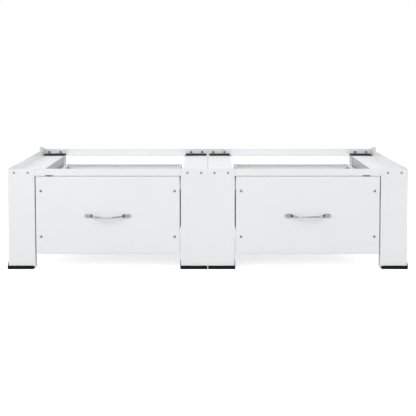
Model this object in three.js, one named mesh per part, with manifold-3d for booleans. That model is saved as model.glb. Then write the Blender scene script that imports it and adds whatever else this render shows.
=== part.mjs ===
// Double pedestal for two laundry machines: a folded steel stand with a sliding drawer in each bay.
// Millimetres. +X is right, -Y is the front and +Z is up. The origin lies on the floor, under the
// centre of the whole object's box. Inside the stand group, y is the depth behind the legs' front faces.

import * as THREE from 'three';
import { mergeVertices } from 'three/addons/utils/BufferGeometryUtils.js';
import Module from 'manifold-3d';

const wasm = await Module();
wasm.setup();

// ---------------------------------------------------------------------------------------------
// Driving dimensions
// ---------------------------------------------------------------------------------------------

// Stand
const LEG_WIDTH = 85; // front face of an outer leg; the centre leg is two of these in one sheet
const BAY_WIDTH = 460; // clear width between two legs
const STAND_DEPTH = 540; // front faces of the front legs to rear faces of the rear legs
const RIM_TOP = 319; // top of the rim round the stand
const PLATE_TOP = 297; // top of the plates inside the rim, which carry the machines
const STAND_SHEET = 1.5;
const BOX_SHEET = 1.2; // sheet of the drawers
const BEND_RADIUS = 0.5; // inside radius of every fold
const BEND_STEPS = 2;
const SEAT_GAP = 0.3; // clearance between pieces that are fastened or rest on each other

// Legs
const LEG_SIDE_DEPTH = 84; // outer side wall of an outer leg
const FRONT_RETURN = 22; // folded edge on the bay side of a front leg
const REAR_RETURN = 54; // folded edge on the bay side of a rear leg
const OUTER_RETURN_BOTTOM = 6.5; // the bay edge of an outer leg reaches down past its foot
const EAR_RISE = 18; // rear legs: height of the side wall's raised corner above the rim
const EAR_REAR_RISE = 5; // and of its lower end, at the rear face
const EAR_CORNER = 3; // radius of the raised corner

// Feet
const OUTER_FOOT_WIDTH = 83.2;
const OUTER_FOOT_OVERHANG = 3; // past the side of the leg
const CENTRE_FOOT_WIDTH = 86;
const CENTRE_FOOT_OVERHANG = 2;
const FOOT_DEPTH = 32;
const FOOT_TOP = 10.8; // top of the rim that hides the leg's lower edge
const FOOT_LEDGE = 8.2; // the leg stands on this step
const FOOT_SIDE_TOP = 24; // the rim rises to this height along the leg's side
const FOOT_SIDE_RISE = 14; // over this distance from the front
const FOOT_PROUD = 2.5; // past the face of the leg
const FOOT_CORNER = 3;
const FOOT_PLUG_TOP = 26; // the hollow plug that goes up inside the leg
const FOOT_PLUG_WALL = 2.5;
const FOOT_TREAD = 1.5; // depth of a groove under the foot
const FOOT_TREAD_WIDTH = 4;
const FOOT_TREAD_PITCH = 14;

// Side beams and rails
const WEB_BOTTOM = 190; // lower edge of the wall that carries a slide
const WEB_INSET = 64; // that wall starts and ends this far from the front and rear faces
const MIDDLE_FLANGE = 25; // where the two centre beams meet
const END_LIP_TOP = 316; // upstand at each end of a beam, bolted to the leg
const END_LIP_FOOT = 4; // length of its foot, which runs on into the beam's plate
const RAIL_DEPTH = 62;
const RAIL_TAB_LENGTH = 20; // end tab, stepped down under the beam's plate
const RAIL_TAB_WIDTH = 34;
const RAIL_TAB_INSET = 2; // from the rail's inner edge
const RAIL_STEP_LENGTH = 6;
const RAIL_TAB_FOOT = 6; // flat part of the tab above its step, which runs on into the rail's plate
const RAIL_NOTCH_FROM_LEG = 34; // notch in the lower fold, at the rail's outer end
const RAIL_NOTCH_LENGTH = 24;
const RAIL_NOTCH_HEIGHT = 4;
const RAIL_NOTCH_DEPTH = 3.5;

// Leg bolts
const BOLT_Z = 306;
const BOLT_FROM_EDGE = 21; // from each edge of a leg's 85 mm face
const BOLT_HEAD_RADIUS = 3;
const BOLT_HEAD_HEIGHT = 1.8;
const BOLT_RADIUS = 2.5;
const BOLT_LENGTH = 12;
const NUT_RADIUS = 4.6;
const NUT_HEIGHT = 3.2;
const NUT_SIDES = 6;
const HOLE_CLEARANCE = 0.5; // on the radius
const FASTENER_SIDES = 8;
const DOME_RIM = 0.35; // height of a screw head's rim, as a share of the head's height
const DOME_STEP = 50; // degrees up the dome to its middle ring
const DRILL_LENGTH = 10; // long enough to go through any folded sheet

// Anti-slip pads
const PAD_WIDTH = 79;
const PAD_DEPTH = 45;
const PAD_THICKNESS = 3;
const PAD_FROM_END = 8; // from the stand's front or rear face
const PAD_OVERLAP = 1.5; // an outer pad laps this far over the rail's plate
const PAD_FROM_MIDDLE = 5.5; // a centre pad starts this far from the seam between the centre beams
const PAD_GROOVES = 7;
const PAD_GROOVE_WIDTH = 2;
const PAD_GROOVE_DEPTH = 1;

// Telescopic slides
const SLIDE_SPACE = 12.7; // between the beam's wall and the drawer's wall
const SLIDE_LENGTH = 440;
const SLIDE_START = 30;
const SLIDE_Z = 225;
const SLIDE_SHEET = 1.2;
const OUTER_HEIGHT = 45;
const OUTER_REACH = 11.2; // how far the fixed member stands out from the beam's wall
const OUTER_LIP = 4.9;
const MIDDLE_HEIGHT = 32.6;
const MIDDLE_FROM_WALL = 2.2;
const MIDDLE_REACH = 11.6;
const MIDDLE_LIP = 4.1;
const INNER_HEIGHT = 21.2;
const INNER_FROM_WALL = 4.2;
const INNER_LIP = 4.6;
const BALL_GAP = 0.35; // between a ball and the channel that it runs in
const BALL_SINK = 0.4; // how deep a ball sits in the member that carries it
const BALLS_PER_ROW = 3;
const BALL_SIDES = 6;
const BALL_RINGS = 4;
const BALL_PITCH = 28;
const CAGE_THICKNESS = 0.8;
const CAGE_FROM_REAR = 120; // middle of a ball row, from the member's rear end
const STOP_HEIGHT = 12;
const RIVET_RADIUS = 2;
const RIVET_HEAD_RADIUS = 4;
const RIVET_HEAD_HEIGHT = 1.2;
const RIVET_FROM_ENDS = 70;

// Drawers
const PANEL_SIDE_GAP = 3.5; // front panel to leg
const PANEL_TOP_GAP = 1.1; // front panel to rail
const PANEL_BOTTOM = 48;
const PANEL_RETURN = 15;
const BOX_TOP = 258;
const BOX_BOTTOM = 60;
const BOX_REAR = 490;
const BOX_HEM = 6;
const BOX_FOOT_FLANGE = 16; // carries the bottom sheet
const BACK_FOOT_FLANGE = 12;
const BOX_END_FLANGE = 18;
const BOX_FLANGE_INSET = 8; // end flanges stop this far from the wall's top and bottom edges
const BOX_BOTTOM_UPSTAND = 10;
const PANEL_SCREW_FROM_SIDE = 16;
const PANEL_SCREW_HIGH = 248.5;
const PANEL_SCREW_LOW = 103.5;
const PANEL_SCREW_HEAD_RADIUS = 3.4;
const PANEL_SCREW_HEAD_HEIGHT = 1.8;
const PANEL_SCREW_RADIUS = 1.9;
const PANEL_SCREW_LENGTH = 9;

// Handles
const HANDLE_Z = 170;
const HANDLE_LENGTH = 146;
const HANDLE_REACH = 29; // from the panel's face to the front of the grip
const HANDLE_PAD_LENGTH = 22.7;
const HANDLE_PAD_HEIGHT = 11.7;
const HANDLE_PAD_THICKNESS = 3.5;
const HANDLE_BAR = 5.5;
const HANDLE_LEAN = 1.1; // the grip's middle lies this far off the pads' level
const HANDLE_SCREW_FROM_END = 11;
const HANDLE_SCREW_RADIUS = 1.9;
const HANDLE_SCREW_HEAD_RADIUS = 3.6;
const HANDLE_SCREW_HEAD_HEIGHT = 2.2;
const HANDLE_SCREW_BITE = 2.2; // how deep the screw goes into the handle's pad
const HANDLE_STATIONS = 28; // sections along the handle
const RING_POINTS = 12; // points round each section
const PAD_SHARES = [0, 0.33, 0.66, 0.85]; // places along a pad that the handle's line goes through
const BOW_LIMIT = 72; // degrees each way from the middle of the bow
const BOW_STEP = 18;
const FLATTEN_START = 0.86; // the round grip starts to flatten here, as a share of the bow's half length
const FLATTEN_END = 1.12; // and is a flat pad here
const PAD_SQUARENESS = 0.6; // 1 is an ellipse, 0 a rectangle
const PAD_END_HEIGHT = 0.06; // square of the pad's height at its very end, as a share of the full one

// ---------------------------------------------------------------------------------------------
// Worked-out places
// ---------------------------------------------------------------------------------------------

const HALF_WIDTH = BAY_WIDTH + 2 * LEG_WIDTH;
const BAY_CENTRE = -(LEG_WIDTH + BAY_WIDTH / 2); // the left bay; the right one mirrors it
const BAY_LEFT = BAY_CENTRE - BAY_WIDTH / 2;
const BAY_RIGHT = BAY_CENTRE + BAY_WIDTH / 2;
const PLATE_UNDER = PLATE_TOP - STAND_SHEET;
const TAB_TOP = PLATE_UNDER - SEAT_GAP;
const RETURN_TOP = TAB_TOP - STAND_SHEET - SEAT_GAP;
const LEG_BOTTOM = FOOT_LEDGE + SEAT_GAP;
const FOLD = STAND_SHEET + BEND_RADIUS; // outside radius of a fold in the stand
const BEAM_START = STAND_SHEET + SEAT_GAP; // behind a leg's face
const RAIL_STEP_START = BAY_LEFT + SEAT_GAP + STAND_SHEET; // past the beam's wall
const RAIL_STEP_END = RAIL_STEP_START + RAIL_STEP_LENGTH;
const RAIL_TAB_REAR = RAIL_DEPTH - RAIL_TAB_INSET;
const PANEL_LEFT = BAY_LEFT + PANEL_SIDE_GAP;
const PANEL_RIGHT = BAY_RIGHT - PANEL_SIDE_GAP;
const PANEL_TOP = PLATE_UNDER - PANEL_TOP_GAP;
const BOX_LEFT = BAY_LEFT + SLIDE_SPACE;
const BOX_RIGHT = BAY_RIGHT - SLIDE_SPACE;
const BOX_START = BOX_SHEET + SEAT_GAP; // behind the front panel
const BOX_END = BOX_REAR - BOX_SHEET - SEAT_GAP; // in front of the back
const REAR_PROUD = Math.max(BOLT_HEAD_HEIGHT, FOOT_PROUD);
const EPS = 1; // how far a cutting block passes the face that it cuts
const MERGE_DISTANCE = 1e-4;

// ---------------------------------------------------------------------------------------------
// Solids, cuts and joins
// ---------------------------------------------------------------------------------------------

const ORIGIN = new THREE.Vector2(0, 0);

// A closed solid from any closed geometry, with its triangles facing out.
function solid(geometry) {
  const plain = geometry.clone();
  plain.deleteAttribute('normal');
  plain.deleteAttribute('uv');
  const merged = mergeVertices(plain, MERGE_DISTANCE);
  const place = merged.attributes.position.array;
  const corners = [];
  let volume = 0;
  for (let i = 0; i < merged.index.count; i += 3) {
    const [a, b, c] = merged.index.array.slice(i, i + 3);
    if (a === b || b === c || c === a) continue;
    corners.push(a, b, c);
    const [p, q, r] = [a, b, c].map((n) => new THREE.Vector3().fromArray(place, 3 * n));
    volume += p.dot(q.cross(r));
  }
  if (volume < 0) corners.reverse();
  const triVerts = new Uint32Array(corners);
  const vertProperties = new Float32Array(place);
  return new wasm.Manifold(new wasm.Mesh({ numProp: 3, vertProperties, triVerts }));
}

function join(...solids) {
  return solids.reduce((sum, next) => sum.add(next));
}

function cut(body, ...tools) {
  return tools.reduce((rest, tool) => rest.subtract(tool), body);
}

function geometryOf(body) {
  const { vertProperties, triVerts } = body.getMesh();
  const geometry = new THREE.BufferGeometry();
  geometry.setAttribute('position', new THREE.BufferAttribute(new Float32Array(vertProperties), 3));
  geometry.setIndex(new THREE.BufferAttribute(new Uint32Array(triVerts), 1));
  const faceted = geometry.toNonIndexed();
  faceted.computeVertexNormals();
  return faceted;
}

// The same geometry mirrored across the plane axis = about.
function mirrored(geometry, axis, about) {
  const copy = geometry.clone();
  const place = copy.attributes.position;
  const k = { x: 0, y: 1 }[axis];
  for (let i = 0; i < place.count; i += 1) place.array[3 * i + k] = 2 * about - place.array[3 * i + k];
  for (let i = 0; i < place.count; i += 3) {
    const second = place.array.slice(3 * i + 3, 3 * i + 6);
    place.array.copyWithin(3 * i + 3, 3 * i + 6, 3 * i + 9);
    place.array.set(second, 3 * i + 6);
  }
  copy.computeVertexNormals();
  return copy;
}

function inOrder(a, b) {
  return a < b ? [a, b] : [b, a];
}

function block(x0, x1, y0, y1, z0, z1) {
  const box = new THREE.BoxGeometry(x1 - x0, y1 - y0, z1 - z0);
  box.translate((x0 + x1) / 2, (y0 + y1) / 2, (z0 + z1) / 2);
  return solid(box);
}

// A rod along x or y, centred on a point.
function rod(radius, length, axis, x, y, z, sides = FASTENER_SIDES) {
  const cylinder = new THREE.CylinderGeometry(radius, radius, length, sides);
  if (axis === 'x') cylinder.rotateZ(Math.PI / 2);
  cylinder.translate(x, y, z);
  return solid(cylinder);
}

// The space of a drilled hole along x or y, centred on a point.
function drilled(radius, axis, x, y, z) {
  return rod(radius + HOLE_CLEARANCE, DRILL_LENGTH, axis, x, y, z);
}

function extruded(shape, length, xAxis, yAxis, start) {
  const geometry = new THREE.ExtrudeGeometry(shape, {
    depth: length,
    bevelEnabled: false,
    curveSegments: 2 * BEND_STEPS,
  });
  const zAxis = xAxis.clone().cross(yAxis);
  geometry.applyMatrix4(new THREE.Matrix4().makeBasis(xAxis, yAxis, zAxis).setPosition(start));
  return solid(geometry);
}

const X = new THREE.Vector3(1, 0, 0);
const Y = new THREE.Vector3(0, 1, 0);
const Z = new THREE.Vector3(0, 0, 1);

// Outlines drawn in (x, y), (y, z) and (x, z), drawn out along the third axis.
function upright(shape, z0, z1) {
  return extruded(shape, z1 - z0, X, Y, new THREE.Vector3(0, 0, z0));
}

function crosswise(shape, x0, x1) {
  return extruded(shape, x1 - x0, Y, Z, new THREE.Vector3(x0, 0, 0));
}

function lengthwise(shape, y0, y1) {
  return extruded(shape, y1 - y0, X, Z, new THREE.Vector3(0, y1, 0));
}

// The outline of a folded sheet. The path runs along one face of the sheet, which lies on the path's
// left (side 1) or right (side -1), and every corner of the path becomes a round fold.
function folded(path, thickness, side) {
  const points = path.map(([x, y]) => new THREE.Vector2(x, y));
  const face = [];
  const back = [];
  const leftOf = (v) => new THREE.Vector2(-v.y, v.x);
  points.forEach((here, i) => {
    const before = points[i - 1];
    const after = points[i + 1];
    if (!before || !after) {
      const along = (after ? after.clone().sub(here) : here.clone().sub(before)).normalize();
      face.push(here);
      back.push(here.clone().addScaledVector(leftOf(along), side * thickness));
      return;
    }
    const u = here.clone().sub(before).normalize();
    const v = after.clone().sub(here).normalize();
    const turn = Math.atan2(u.cross(v), u.dot(v));
    const hand = Math.sign(turn);
    const faceRadius = hand === side ? BEND_RADIUS + thickness : BEND_RADIUS;
    const backRadius = hand === side ? BEND_RADIUS : BEND_RADIUS + thickness;
    const centre = here.clone().addScaledVector(u, -faceRadius * Math.tan(Math.abs(turn) / 2));
    centre.addScaledVector(leftOf(u), hand * faceRadius);
    for (let k = 0; k <= BEND_STEPS; k += 1) {
      const out = leftOf(u).multiplyScalar(-hand).rotateAround(ORIGIN, (turn * k) / BEND_STEPS);
      face.push(centre.clone().addScaledVector(out, faceRadius));
      back.push(centre.clone().addScaledVector(out, backRadius));
    }
  });
  return new THREE.Shape([...face, ...back.reverse()]);
}

// A domed head on a round shank, turned about y. The head's flat side lies at y = 0 and the shank
// goes on behind it, towards +y.
function fastener(headRadius, headHeight, radius, length) {
  const dome = [0, DOME_STEP].map((angle) => {
    const a = THREE.MathUtils.degToRad(angle);
    const height = THREE.MathUtils.lerp(DOME_RIM, 1, Math.sin(a));
    return new THREE.Vector2(headRadius * Math.cos(a), -headHeight * height);
  });
  const profile = [
    new THREE.Vector2(0, length),
    new THREE.Vector2(radius, length),
    new THREE.Vector2(radius, 0),
    new THREE.Vector2(headRadius, 0),
    ...dome,
    new THREE.Vector2(0, -headHeight),
  ];
  return new THREE.LatheGeometry(profile, FASTENER_SIDES);
}

// A closed skin over a list of rings of points, with a flat cap on each end.
function loft(rings) {
  const count = rings[0].length;
  const points = rings.flat();
  const corners = [];
  for (let i = 0; i + 1 < rings.length; i += 1) {
    for (let k = 0; k < count; k += 1) {
      const a = i * count + k;
      const b = i * count + ((k + 1) % count);
      corners.push(a, b, b + count, a, b + count, a + count);
    }
  }
  const last = (rings.length - 1) * count;
  for (let k = 1; k + 1 < count; k += 1) {
    corners.push(0, k + 1, k);
    corners.push(last, last + k, last + k + 1);
  }
  const geometry = new THREE.BufferGeometry().setFromPoints(points);
  geometry.setIndex(corners);
  return geometry;
}

// ---------------------------------------------------------------------------------------------
// Materials
// ---------------------------------------------------------------------------------------------

function whitePaint() {
  return new THREE.MeshStandardMaterial({ color: 0xe8eaee, roughness: 0.42, metalness: 0 });
}

function blackRubber() {
  return new THREE.MeshStandardMaterial({ color: 0x1c1c1e, roughness: 0.85, metalness: 0 });
}

function chromePlate() {
  return new THREE.MeshStandardMaterial({ color: 0xc9ccd0, roughness: 0.12, metalness: 1 });
}

function zincSteel() {
  return new THREE.MeshStandardMaterial({ color: 0xa9adb2, roughness: 0.35, metalness: 1 });
}

// ---------------------------------------------------------------------------------------------
// Stand
// ---------------------------------------------------------------------------------------------

// A leg bolt with its nut, which clamps the beam's end lip behind the leg's face.
function legBolt(x) {
  const bolt = fastener(BOLT_HEAD_RADIUS, BOLT_HEAD_HEIGHT, BOLT_RADIUS, BOLT_LENGTH);
  bolt.translate(x, 0, BOLT_Z);
  const nutStart = BEAM_START + STAND_SHEET + SEAT_GAP;
  const nut = rod(NUT_RADIUS, NUT_HEIGHT, 'y', x, nutStart + NUT_HEIGHT / 2, BOLT_Z, NUT_SIDES);
  return join(solid(bolt), nut);
}

// The two bolt places on a leg face that starts at x.
function boltPlaces(x) {
  return [x + BOLT_FROM_EDGE, x + LEG_WIDTH - BOLT_FROM_EDGE];
}

// Above the beams' plates a leg has no folded bay edge: its face ends there in a plain edge.
function openTopCorner(leg, edge, towardsLeg, returnDepth) {
  const near = edge + towardsLeg * (FOLD + EPS);
  const cutSpan = inOrder(near, edge - towardsLeg * EPS);
  const faceSpan = inOrder(near + towardsLeg * EPS, edge);
  const corner = block(...cutSpan, -EPS, returnDepth + EPS, RETURN_TOP, RIM_TOP + EPS);
  const face = block(...faceSpan, 0, STAND_SHEET, RETURN_TOP - EPS, RIM_TOP);
  return join(cut(leg, corner), face);
}

// The left outer leg as it stands at the front: bay edge, face and outer side wall in one sheet.
function outerLeg(returnDepth, earRise) {
  const outer = -HALF_WIDTH;
  const bay = BAY_LEFT;
  const path = [[bay, returnDepth], [bay, 0], [outer, 0], [outer, LEG_SIDE_DEPTH]];
  let leg = upright(folded(path, STAND_SHEET, -1), OUTER_RETURN_BOTTOM, RIM_TOP);
  leg = openTopCorner(leg, bay, -1, returnDepth);
  const overFoot = block(
    outer - EPS, bay - FOLD, -EPS, LEG_SIDE_DEPTH + EPS, OUTER_RETURN_BOTTOM - EPS, LEG_BOTTOM,
  );
  leg = cut(leg, overFoot);
  if (earRise > 0) leg = join(leg, legEar(outer, earRise));
  return geometryOf(join(leg, ...boltPlaces(outer).map(legBolt)));
}

// The raised corner of a rear leg's side wall: highest at the wall's free edge.
function legEar(outer, rise) {
  const ear = new THREE.Shape();
  ear.moveTo(FOLD, RIM_TOP - 2 * EPS);
  ear.lineTo(LEG_SIDE_DEPTH, RIM_TOP - 2 * EPS);
  ear.lineTo(LEG_SIDE_DEPTH, RIM_TOP + rise - EAR_CORNER);
  ear.quadraticCurveTo(LEG_SIDE_DEPTH, RIM_TOP + rise, LEG_SIDE_DEPTH - EAR_CORNER, RIM_TOP + rise);
  ear.lineTo(FOLD, RIM_TOP + EAR_REAR_RISE);
  return crosswise(ear, outer, outer + STAND_SHEET);
}

// The centre leg: one wide face with a folded edge on each bay.
function centreLeg(returnDepth) {
  const path = [[-LEG_WIDTH, returnDepth], [-LEG_WIDTH, 0], [LEG_WIDTH, 0], [LEG_WIDTH, returnDepth]];
  let leg = upright(folded(path, STAND_SHEET, 1), LEG_BOTTOM, RIM_TOP);
  leg = openTopCorner(leg, -LEG_WIDTH, 1, returnDepth);
  leg = openTopCorner(leg, LEG_WIDTH, -1, returnDepth);
  const bolts = [...boltPlaces(-LEG_WIDTH), ...boltPlaces(0)].map(legBolt);
  return geometryOf(join(leg, ...bolts));
}

// A moulded foot for the leg whose side lies at x = side: a base with a rim outside the leg's sheet, a
// hollow plug inside it and a groove underneath.
function foot(side, overhang, width) {
  const left = side - overhang;
  const right = left + width;
  const front = -FOOT_PROUD;
  const rear = front + FOOT_DEPTH;
  const base = new THREE.Shape();
  base.moveTo(left + FOOT_CORNER, front);
  base.lineTo(right - FOOT_CORNER, front);
  base.absarc(right - FOOT_CORNER, front + FOOT_CORNER, FOOT_CORNER, -Math.PI / 2, 0, false);
  base.lineTo(right, rear);
  base.lineTo(left, rear);
  base.absarc(left + FOOT_CORNER, front + FOOT_CORNER, FOOT_CORNER, Math.PI, 1.5 * Math.PI, false);
  const sheetSide = side - SEAT_GAP;
  const sheetFace = -SEAT_GAP;
  const insideSide = side + STAND_SHEET + SEAT_GAP;
  const insideFace = STAND_SHEET + SEAT_GAP;
  const plugRight = right - FOOT_PLUG_WALL;
  const sideWall = new THREE.Shape();
  sideWall.moveTo(front + FOOT_CORNER, FOOT_LEDGE);
  sideWall.lineTo(rear, FOOT_LEDGE);
  sideWall.lineTo(rear, FOOT_SIDE_TOP);
  sideWall.lineTo(front + FOOT_SIDE_RISE, FOOT_SIDE_TOP);
  sideWall.lineTo(front + FOOT_CORNER, FOOT_TOP);
  const body = cut(
    upright(base, 0, FOOT_TOP),
    block(sheetSide, right + EPS, sheetFace, rear + EPS, FOOT_LEDGE, FOOT_TOP + EPS),
  );
  const raised = crosswise(sideWall, left, sheetSide);
  const plug = cut(
    block(insideSide, plugRight, insideFace, rear, FOOT_LEDGE - EPS, FOOT_PLUG_TOP),
    block(
      insideSide + FOOT_PLUG_WALL, plugRight - FOOT_PLUG_WALL,
      insideFace + FOOT_PLUG_WALL, rear - FOOT_PLUG_WALL, FOOT_LEDGE, FOOT_PLUG_TOP + EPS,
    ),
  );
  const middle = (insideSide + plugRight) / 2;
  const rib = block(
    middle - FOOT_PLUG_WALL / 2, middle + FOOT_PLUG_WALL / 2, insideFace, rear,
    FOOT_LEDGE - EPS, FOOT_PLUG_TOP,
  );
  const treads = [];
  const treadCount = Math.floor((FOOT_DEPTH - FOOT_TREAD_PITCH) / FOOT_TREAD_PITCH);
  for (let i = 0; i < treadCount; i += 1) {
    const y = (front + rear) / 2 + (i - (treadCount - 1) / 2) * FOOT_TREAD_PITCH;
    treads.push(block(
      left - EPS, right + EPS, y - FOOT_TREAD_WIDTH / 2, y + FOOT_TREAD_WIDTH / 2, -EPS, FOOT_TREAD,
    ));
  }
  return geometryOf(cut(join(body, raised, plug, rib), ...treads));
}

// The upstand at the front end of a beam's plate, from x0 to x1, with its two bolt holes.
function endLip(x0, x1, legStart) {
  const back = BEAM_START + STAND_SHEET;
  const path = [[back, END_LIP_TOP], [back, PLATE_TOP], [back + END_LIP_FOOT, PLATE_TOP]];
  const lip = crosswise(folded(path, STAND_SHEET, -1), x0, x1);
  const holes = boltPlaces(legStart).map((x) => drilled(BOLT_RADIUS, 'y', x, BEAM_START, BOLT_Z));
  return cut(lip, ...holes);
}

// Both end lips, the rear one mirrored from the front one.
function endLips(x0, x1, legStart) {
  const front = endLip(x0, x1, legStart);
  const rear = solid(mirrored(geometryOf(front), 'y', STAND_DEPTH / 2));
  return [front, rear];
}

// Takes the slide's wall off both ends of a beam, and drills it for the slide's rivets.
function trimWeb(beam, wallX, inside) {
  const span = inOrder(wallX - inside * EPS, wallX + inside * (FOLD + EPS));
  const under = WEB_BOTTOM - EPS;
  const frontEnd = block(...span, -EPS, WEB_INSET, under, PLATE_UNDER);
  const rearEnd = block(...span, STAND_DEPTH - WEB_INSET, STAND_DEPTH + EPS, under, PLATE_UNDER);
  const holes = rivetPlaces().map((y) => drilled(RIVET_RADIUS, 'x', wallX, y, SLIDE_Z));
  return cut(beam, frontEnd, rearEnd, ...holes);
}

// The left outer beam: outer lip, plate and slide wall in one sheet, with an upstand at each end.
function outerBeam() {
  const lipOuter = -HALF_WIDTH + STAND_SHEET + SEAT_GAP;
  const lipInner = lipOuter + STAND_SHEET;
  const path = [
    [lipInner, RIM_TOP], [lipInner, PLATE_TOP], [BAY_LEFT, PLATE_TOP], [BAY_LEFT, WEB_BOTTOM],
  ];
  const start = BEAM_START + FOLD + EPS;
  const sheet = lengthwise(folded(path, STAND_SHEET, -1), start, STAND_DEPTH - start);
  const tray = trimWeb(sheet, BAY_LEFT, -1);
  const lips = endLips(lipInner + FOLD + EPS, BAY_LEFT - FOLD - EPS, -HALF_WIDTH);
  return geometryOf(join(tray, ...lips));
}

// The left centre beam: slide wall, plate and the flange that meets the other centre beam.
function centreBeam() {
  const middle = -SEAT_GAP / 2;
  const path = [
    [BAY_RIGHT, WEB_BOTTOM], [BAY_RIGHT, PLATE_TOP],
    [middle, PLATE_TOP], [middle, PLATE_TOP - MIDDLE_FLANGE],
  ];
  const start = BEAM_START + FOLD + EPS;
  const sheet = lengthwise(folded(path, STAND_SHEET, -1), start, STAND_DEPTH - start);
  const tray = trimWeb(sheet, BAY_RIGHT, 1);
  const lips = endLips(BAY_RIGHT + FOLD + EPS, middle - FOLD - EPS, -LEG_WIDTH);
  return geometryOf(join(tray, ...lips));
}

// A stepped tab on the left end of a rail, which goes in under the beam's plate.
function railTab() {
  const path = [
    [BAY_LEFT - RAIL_TAB_LENGTH, TAB_TOP], [RAIL_STEP_START, TAB_TOP],
    [RAIL_STEP_END, PLATE_TOP], [RAIL_STEP_END + RAIL_TAB_FOOT, PLATE_TOP],
  ];
  return lengthwise(folded(path, STAND_SHEET, -1), RAIL_TAB_REAR - RAIL_TAB_WIDTH, RAIL_TAB_REAR);
}

// The left front rail: a face between the legs and a plate behind it, with a tab at each end.
function rail() {
  const path = [[0, RIM_TOP], [0, PLATE_UNDER], [RAIL_DEPTH, PLATE_UNDER]];
  const profile = folded(path, STAND_SHEET, 1);
  const angle = crosswise(profile, BAY_LEFT + SEAT_GAP, BAY_RIGHT - SEAT_GAP);
  const leftSpace = block(
    BAY_LEFT - EPS, RAIL_STEP_END + EPS, RAIL_TAB_REAR - RAIL_TAB_WIDTH, RAIL_TAB_REAR,
    TAB_TOP, PLATE_TOP + EPS,
  );
  const spaces = [leftSpace, solid(mirrored(geometryOf(leftSpace), 'x', BAY_CENTRE))];
  const leftTab = railTab();
  const rightTab = solid(mirrored(geometryOf(leftTab), 'x', BAY_CENTRE));
  return geometryOf(join(cut(angle, ...spaces), leftTab, rightTab));
}

// The same rail with a notch in its fold near the outer leg, for a buffer.
function notchedRail() {
  const notchStart = BAY_LEFT + RAIL_NOTCH_FROM_LEG;
  const notch = block(
    notchStart, notchStart + RAIL_NOTCH_LENGTH, -EPS, RAIL_NOTCH_DEPTH,
    PLATE_UNDER - EPS, PLATE_UNDER + RAIL_NOTCH_HEIGHT,
  );
  return geometryOf(cut(solid(rail()), notch));
}

// An anti-slip pad whose left edge lies at x, on the front end of a beam's plate.
function pad(x) {
  const top = PLATE_TOP + SEAT_GAP + PAD_THICKNESS;
  const bottom = PLATE_TOP + SEAT_GAP;
  const outline = new THREE.Shape();
  outline.moveTo(x, bottom);
  outline.lineTo(x + PAD_WIDTH, bottom);
  outline.lineTo(x + PAD_WIDTH, top);
  const pitch = PAD_WIDTH / PAD_GROOVES;
  for (let i = PAD_GROOVES - 1; i >= 0; i -= 1) {
    const middle = x + (i + 0.5) * pitch;
    outline.lineTo(middle + PAD_GROOVE_WIDTH / 2, top);
    outline.lineTo(middle, top - PAD_GROOVE_DEPTH);
    outline.lineTo(middle - PAD_GROOVE_WIDTH / 2, top);
  }
  outline.lineTo(x, top);
  return geometryOf(lengthwise(outline, PAD_FROM_END, PAD_FROM_END + PAD_DEPTH));
}

// ---------------------------------------------------------------------------------------------
// Slides, drawn for the left side of the left bay
// ---------------------------------------------------------------------------------------------

// A channel that opens to the right (hand 1) or left (hand -1), with a lip on each free edge.
function channel(wallX, freeX, height, lip, hand) {
  const half = height / 2;
  const path = [
    [freeX, SLIDE_Z + half - lip], [freeX, SLIDE_Z + half], [wallX, SLIDE_Z + half],
    [wallX, SLIDE_Z - half], [freeX, SLIDE_Z - half], [freeX, SLIDE_Z - half + lip],
  ];
  return lengthwise(folded(path, SLIDE_SHEET, hand), SLIDE_START, SLIDE_START + SLIDE_LENGTH);
}

// Rows of balls in their cages along the top and bottom of a member. The balls sit on the member's
// flange and run against the next member's flange.
function ballRows(x, seatHeight, trackHeight) {
  const seat = seatHeight / 2 - BALL_SINK;
  const track = trackHeight / 2 - SLIDE_SHEET - BALL_GAP;
  const radius = (track - seat) / 2;
  const middle = SLIDE_START + SLIDE_LENGTH - CAGE_FROM_REAR;
  const cageLength = BALLS_PER_ROW * BALL_PITCH;
  const rows = [];
  for (const way of [-1, 1]) {
    const z = SLIDE_Z + (way * (seat + track)) / 2;
    rows.push(block(
      x - radius, x + radius, middle - cageLength / 2, middle + cageLength / 2,
      z - CAGE_THICKNESS / 2, z + CAGE_THICKNESS / 2,
    ));
    for (let i = 0; i < BALLS_PER_ROW; i += 1) {
      const ball = new THREE.SphereGeometry(radius, BALL_SIDES, BALL_RINGS);
      ball.rotateX(Math.PI / 2);
      ball.translate(x, middle + (i - (BALLS_PER_ROW - 1) / 2) * BALL_PITCH, z);
      rows.push(solid(ball));
    }
  }
  return rows;
}

function rivetPlaces() {
  return [SLIDE_START + RIVET_FROM_ENDS, SLIDE_START + SLIDE_LENGTH - RIVET_FROM_ENDS];
}

// A rivet from a member's wall at x, through a sheet, with its head on the far side.
function rivet(x, y, sheet, way) {
  const length = SLIDE_SHEET / 2 + SEAT_GAP + sheet + SEAT_GAP;
  const turned = fastener(RIVET_HEAD_RADIUS, RIVET_HEAD_HEIGHT, RIVET_RADIUS, length);
  turned.rotateZ(way < 0 ? -Math.PI / 2 : Math.PI / 2);
  turned.translate(x + way * (length - SLIDE_SHEET / 2), y, SLIDE_Z);
  return solid(turned);
}

// The fixed member: rivets to the beam's wall and a stop at its rear end.
function slideOuter() {
  const wall = BAY_LEFT + SEAT_GAP;
  const body = channel(wall, BAY_LEFT + OUTER_REACH, OUTER_HEIGHT, OUTER_LIP, 1);
  const rear = SLIDE_START + SLIDE_LENGTH;
  const stop = block(
    wall, BAY_LEFT + OUTER_REACH - SLIDE_SHEET, rear - SLIDE_SHEET, rear,
    SLIDE_Z - STOP_HEIGHT / 2, SLIDE_Z + STOP_HEIGHT / 2,
  );
  const rivets = rivetPlaces().map((y) => rivet(wall, y, STAND_SHEET, -1));
  return geometryOf(join(body, stop, ...rivets));
}

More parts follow.
